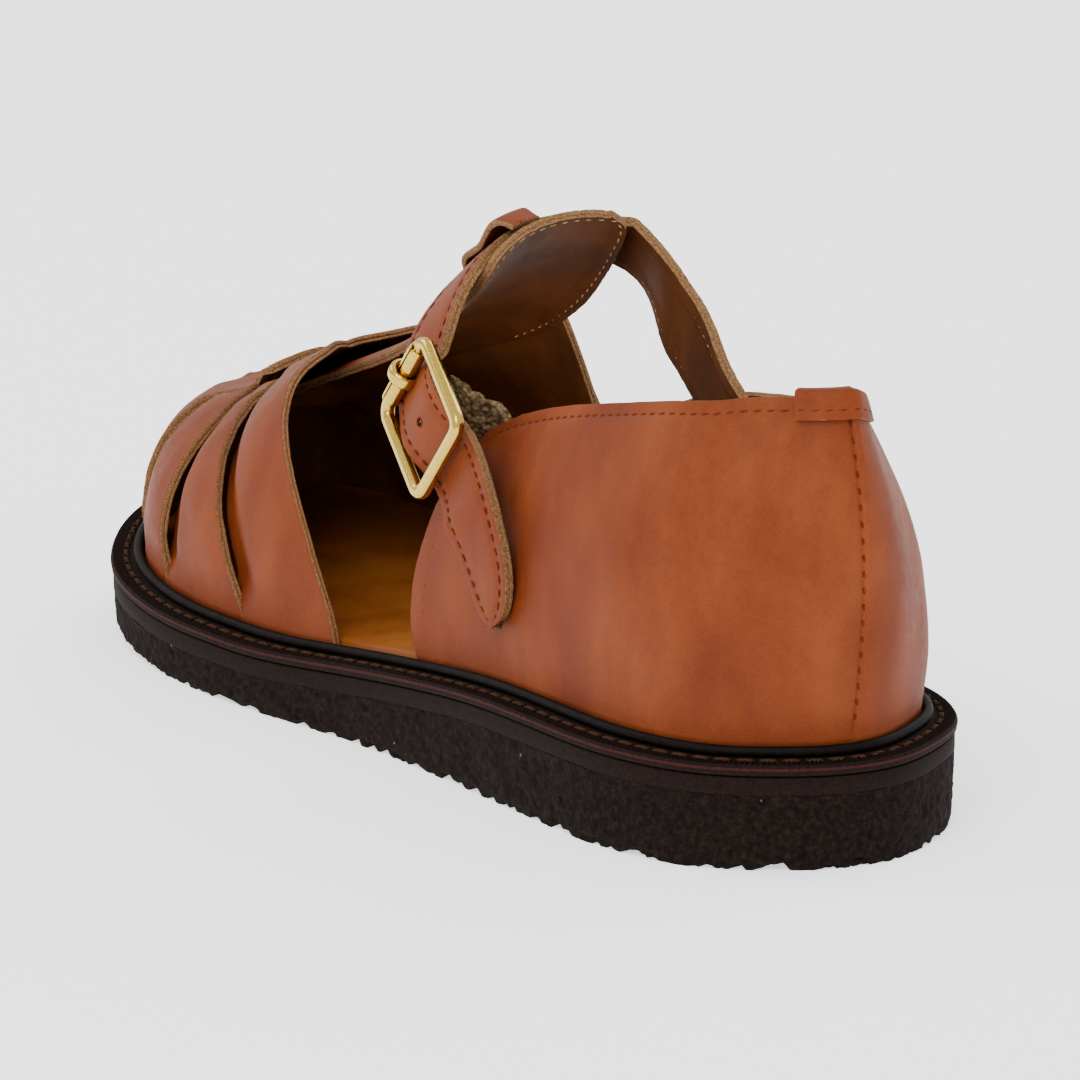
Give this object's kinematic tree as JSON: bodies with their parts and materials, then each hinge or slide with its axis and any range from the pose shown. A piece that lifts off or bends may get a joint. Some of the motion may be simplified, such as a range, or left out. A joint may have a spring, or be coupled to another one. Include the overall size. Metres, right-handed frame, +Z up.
{
  "type": "fisherman sandal",
  "caption": "Left fisherman sandal: woven closed-toe forefoot, T-strap with tongue, high heel quarter, buckled ankle strap and a low crepe wedge sole.",
  "frame": {"origin": "on the ground plane, under the middle of the sole", "axes": "+X towards the toe, +Y towards the lateral side, +Z up"},
  "size_m": [0.28, 0.1029, 0.1171],
  "materials": {
    "crepe": "matte, pitted crepe",
    "rubber": "smooth, semi-matte",
    "rand": "black satin",
    "insole": "honey tan, smooth",
    "leather": "cognac, semi-matte with raw tan edges",
    "brass": "polished pale brass",
    "elastic": "woven, matte"
  },
  "bodies": {
    "root": {"outsole": "crepe", "midsole": "rubber", "welt": "rubber", "rand": "rand", "insole": "insole", "vamp": "leather", "quarters": "leather", "instep_strap": "leather", "ankle_strap": "leather", "keeper": "leather", "heel_tab": "leather", "buckle_frame": "brass", "buckle_prong": "brass", "elastic": "elastic"}
  },
  "joints": []
}
